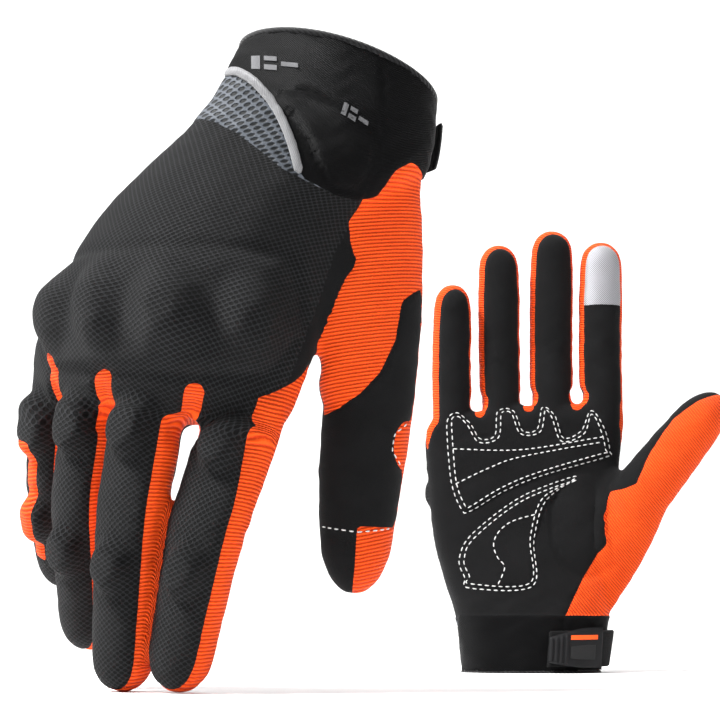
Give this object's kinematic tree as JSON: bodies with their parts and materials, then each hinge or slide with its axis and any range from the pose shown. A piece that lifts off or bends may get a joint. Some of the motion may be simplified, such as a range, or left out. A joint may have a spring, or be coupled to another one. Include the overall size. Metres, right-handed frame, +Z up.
{
  "type": "riding gloves",
  "caption": "Short-cuff knit riding gloves with padded knuckles, gusseted fingers and a hook-and-loop wrist strap, standing for display.",
  "frame": {"origin": "on the floor, under the middle of the pair's bounding box", "axes": "+Z up; the near glove's back and the far glove's palm face -Y; +X runs from the little fingers to the thumbs"},
  "size_m": [0.3414, 0.352, 0.2548],
  "materials": {
    "knit_mesh": "open knit mesh, matt",
    "suede": "microfibre suede, matt",
    "orange_rib": "fine ribbed stretch knit",
    "neoprene": "smooth neoprene, satin",
    "grey_spacer": "open spacer mesh",
    "grey_piping": "satin piping",
    "loop_tape": "brushed loop pile",
    "hook_tape": "hook tape",
    "tab_rubber": "moulded rubber, satin",
    "silver_cloth": "metallised conductive cloth",
    "white_thread": "twisted sewing thread"
  },
  "bodies": {
    "near_hand": {"near_back_panel": "knit_mesh", "near_palm_panel": "suede", "near_cuff": "neoprene", "near_knuckle_guard": "knit_mesh", "near_knuckle_patch": "suede", "near_heel_patch": "suede", "near_wrist_insert": "grey_spacer", "near_wrist_piping": "grey_piping", "near_thumb_gusset": "orange_rib", "near_finger_gussets": "orange_rib", "near_loop_patch": "loop_tape"},
    "near_strap": {"near_strap_hooks": "hook_tape", "near_strap": "neoprene", "near_strap_tab": "tab_rubber"},
    "near_index_base": {"near_index_back": "knit_mesh", "near_index_palm": "suede"},
    "near_index_tip": {"near_index_tip": "knit_mesh", "near_index_touch_pad": "silver_cloth"},
    "near_middle_base": {"near_middle_back": "knit_mesh", "near_middle_palm": "suede"},
    "near_middle_tip": {"near_middle_tip": "knit_mesh"},
    "near_ring_base": {"near_ring_back": "knit_mesh", "near_ring_palm": "suede"},
    "near_ring_tip": {"near_ring_tip": "knit_mesh"},
    "near_little_base": {"near_little_back": "knit_mesh", "near_little_palm": "suede"},
    "near_little_tip": {"near_little_tip": "knit_mesh"},
    "near_thumb_base": {"near_thumb_back": "knit_mesh", "near_thumb_palm": "suede"},
    "near_thumb_tip": {"near_thumb_tip": "knit_mesh"},
    "far_hand": {"far_back_panel": "knit_mesh", "far_palm_panel": "suede", "far_cuff": "neoprene", "far_knuckle_guard": "knit_mesh", "far_knuckle_patch": "suede", "far_heel_patch": "suede", "far_wrist_insert": "grey_spacer", "far_wrist_piping": "grey_piping", "far_thumb_gusset": "orange_rib", "far_finger_gussets": "orange_rib", "far_loop_patch": "loop_tape"},
    "far_strap": {"far_strap_hooks": "hook_tape", "far_strap": "neoprene", "far_strap_tab": "tab_rubber"},
    "far_index_base": {"far_index_back": "knit_mesh", "far_index_palm": "suede"},
    "far_index_tip": {"far_index_tip": "knit_mesh", "far_index_touch_pad": "silver_cloth"},
    "far_middle_base": {"far_middle_back": "knit_mesh", "far_middle_palm": "suede"},
    "far_middle_tip": {"far_middle_tip": "knit_mesh"},
    "far_ring_base": {"far_ring_back": "knit_mesh", "far_ring_palm": "suede"},
    "far_ring_tip": {"far_ring_tip": "knit_mesh"},
    "far_little_base": {"far_little_back": "knit_mesh", "far_little_palm": "suede"},
    "far_little_tip": {"far_little_tip": "knit_mesh"},
    "far_thumb_base": {"far_thumb_back": "knit_mesh", "far_thumb_palm": "suede"},
    "far_thumb_tip": {"far_thumb_tip": "knit_mesh"}
  },
  "joints": [
    {"name": "near_strap_fold", "type": "hinge", "parent": "near_hand", "child": "near_strap", "pos_m": [-0.00988, -0.13655, 0.20887], "axis": [-0.1495, 0.0554, -0.9872], "range_deg": [0, 90]},
    {"name": "near_index_knuckle", "type": "hinge", "parent": "near_hand", "child": "near_index_base", "pos_m": [-0.08209, -0.14468, 0.09184], "axis": [0.8515, -0.448, -0.2725], "range_deg": [0, 60], "stiffness_Nm_per_rad": 0.25},
    {"name": "near_index_middle", "type": "hinge", "parent": "near_index_base", "child": "near_index_tip", "pos_m": [-0.09245, -0.14468, 0.05946], "axis": [0.8731, -0.423, -0.2423], "range_deg": [0, 75]},
    {"name": "near_middle_knuckle", "type": "hinge", "parent": "near_hand", "child": "near_middle_base", "pos_m": [-0.11609, -0.13968, 0.09984], "axis": [0.8839, -0.4366, -0.1675], "range_deg": [0, 60], "stiffness_Nm_per_rad": 0.25},
    {"name": "near_middle_middle", "type": "hinge", "parent": "near_middle_base", "child": "near_middle_tip", "pos_m": [-0.12141, -0.13684, 0.06435], "axis": [0.8901, -0.4309, -0.1482], "range_deg": [0, 75]},
    {"name": "near_ring_knuckle", "type": "hinge", "parent": "near_hand", "child": "near_ring_base", "pos_m": [-0.13909, -0.12368, 0.10384], "axis": [0.8809, -0.421, -0.2163], "range_deg": [0, 60], "stiffness_Nm_per_rad": 0.25},
    {"name": "near_ring_middle", "type": "hinge", "parent": "near_ring_base", "child": "near_ring_tip", "pos_m": [-0.14404, -0.11708, 0.07085], "axis": [0.8971, -0.3951, -0.1976], "range_deg": [0, 75]},
    {"name": "near_little_knuckle", "type": "hinge", "parent": "near_hand", "child": "near_little_base", "pos_m": [-0.15809, -0.10268, 0.10584], "axis": [0.8878, -0.4126, -0.2037], "range_deg": [0, 60], "stiffness_Nm_per_rad": 0.25},
    {"name": "near_little_middle", "type": "hinge", "parent": "near_little_base", "child": "near_little_tip", "pos_m": [-0.16032, -0.09524, 0.08103], "axis": [0.9056, -0.3558, -0.2309], "range_deg": [0, 75]},
    {"name": "near_thumb_knuckle", "type": "hinge", "parent": "near_hand", "child": "near_thumb_base", "pos_m": [-0.03409, -0.13168, 0.10384], "axis": [0.9929, 0.0537, -0.1065], "range_deg": [0, 30], "stiffness_Nm_per_rad": 0.25},
    {"name": "near_thumb_middle", "type": "hinge", "parent": "near_thumb_base", "child": "near_thumb_tip", "pos_m": [-0.03737, -0.13019, 0.07406], "axis": [0.9972, 0.0513, -0.0547], "range_deg": [0, 45]},
    {"name": "far_strap_fold", "type": "hinge", "parent": "far_hand", "child": "far_strap", "pos_m": [0.09942, 0.13963, 0.0133], "axis": [0.18, -0.0527, 0.9823], "range_deg": [0, 90]},
    {"name": "far_index_knuckle", "type": "hinge", "parent": "far_hand", "child": "far_index_base", "pos_m": [0.10341, 0.14432, 0.153], "axis": [0.9968, 0.08, -0.0068], "range_deg": [0, 60], "stiffness_Nm_per_rad": 0.25},
    {"name": "far_index_middle", "type": "hinge", "parent": "far_index_base", "child": "far_index_tip", "pos_m": [0.10375, 0.14296, 0.18697], "axis": [0.9967, 0.081, -0.0086], "range_deg": [0, 75]},
    {"name": "far_middle_knuckle", "type": "hinge", "parent": "far_hand", "child": "far_middle_base", "pos_m": [0.07491, 0.14732, 0.1535], "axis": [0.9968, 0.08, -0.0068], "range_deg": [0, 60], "stiffness_Nm_per_rad": 0.25},
    {"name": "far_middle_middle", "type": "hinge", "parent": "far_middle_base", "child": "far_middle_tip", "pos_m": [0.07527, 0.14588, 0.18947], "axis": [0.9967, 0.081, -0.0086], "range_deg": [0, 75]},
    {"name": "far_ring_knuckle", "type": "hinge", "parent": "far_hand", "child": "far_ring_base", "pos_m": [0.04491, 0.14632, 0.1505], "axis": [0.9968, 0.0791, 0.0139], "range_deg": [0, 60], "stiffness_Nm_per_rad": 0.25},
    {"name": "far_ring_middle", "type": "hinge", "parent": "far_ring_base", "child": "far_ring_tip", "pos_m": [0.04457, 0.14462, 0.18446], "axis": [0.9969, 0.0778, 0.0124], "range_deg": [0, 75]},
    {"name": "far_little_knuckle", "type": "hinge", "parent": "far_hand", "child": "far_little_base", "pos_m": [0.01641, 0.14232, 0.147], "axis": [0.9968, 0.0789, 0.0147], "range_deg": [0, 60], "stiffness_Nm_per_rad": 0.25},
    {"name": "far_little_middle", "type": "hinge", "parent": "far_little_base", "child": "far_little_tip", "pos_m": [0.01615, 0.14076, 0.17295], "axis": [0.9967, 0.0807, -0.0054], "range_deg": [0, 75]},
    {"name": "far_thumb_knuckle", "type": "hinge", "parent": "far_hand", "child": "far_thumb_base", "pos_m": [0.12391, 0.13232, 0.101], "axis": [0.7102, -0.2913, -0.641], "range_deg": [0, 30], "stiffness_Nm_per_rad": 0.25},
    {"name": "far_thumb_middle", "type": "hinge", "parent": "far_thumb_base", "child": "far_thumb_tip", "pos_m": [0.1423, 0.12657, 0.12399], "axis": [0.7027, -0.2923, -0.6487], "range_deg": [0, 45]},
    {"name": "far_lift", "type": "slide", "parent": "near_hand", "child": "far_hand", "axis": [0, 0, 1], "range_m": [0, 0.12]}
  ],
  "couplings": [
    {"joint": "near_index_middle", "follows": "near_index_knuckle", "ratio": 1.25},
    {"joint": "near_middle_middle", "follows": "near_middle_knuckle", "ratio": 1.25},
    {"joint": "near_ring_middle", "follows": "near_ring_knuckle", "ratio": 1.25},
    {"joint": "near_little_middle", "follows": "near_little_knuckle", "ratio": 1.25},
    {"joint": "near_thumb_middle", "follows": "near_thumb_knuckle", "ratio": 1.5},
    {"joint": "far_index_middle", "follows": "far_index_knuckle", "ratio": 1.25},
    {"joint": "far_middle_middle", "follows": "far_middle_knuckle", "ratio": 1.25},
    {"joint": "far_ring_middle", "follows": "far_ring_knuckle", "ratio": 1.25},
    {"joint": "far_little_middle", "follows": "far_little_knuckle", "ratio": 1.25},
    {"joint": "far_thumb_middle", "follows": "far_thumb_knuckle", "ratio": 1.5}
  ]
}
